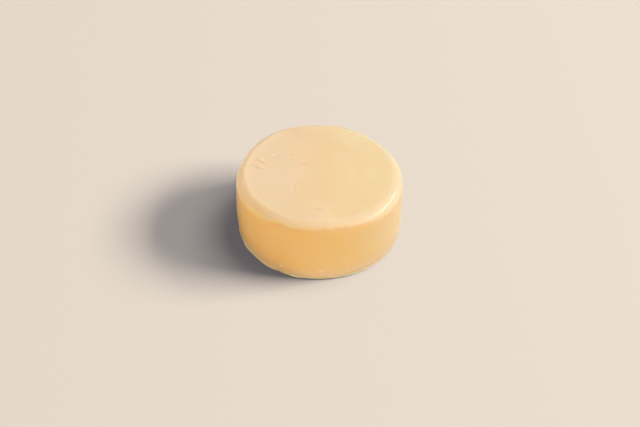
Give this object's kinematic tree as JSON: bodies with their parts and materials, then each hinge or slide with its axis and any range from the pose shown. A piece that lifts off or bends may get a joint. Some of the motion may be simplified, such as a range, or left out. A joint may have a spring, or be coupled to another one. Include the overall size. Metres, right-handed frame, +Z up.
{
  "type": "conditioner bar",
  "caption": "Round hair conditioner bar: a low one-piece puck of poured soft wax with a softly rounded top edge, a slightly swollen wall and a thin uneven lip round its foot.",
  "frame": {"origin": "centre of the underside, which rests on Z = 0", "axes": "+Z is up, out of the crown. +X is the side where the crown is lowest. The front of the bar is at -Y"},
  "size_m": [0.0601, 0.0599, 0.0249],
  "materials": {
    "conditioner_wax": "satin, cloudy, butter-coloured wax that lets light into its surface"
  },
  "bodies": {
    "root": {"conditioner_bar": "conditioner_wax"}
  },
  "joints": []
}
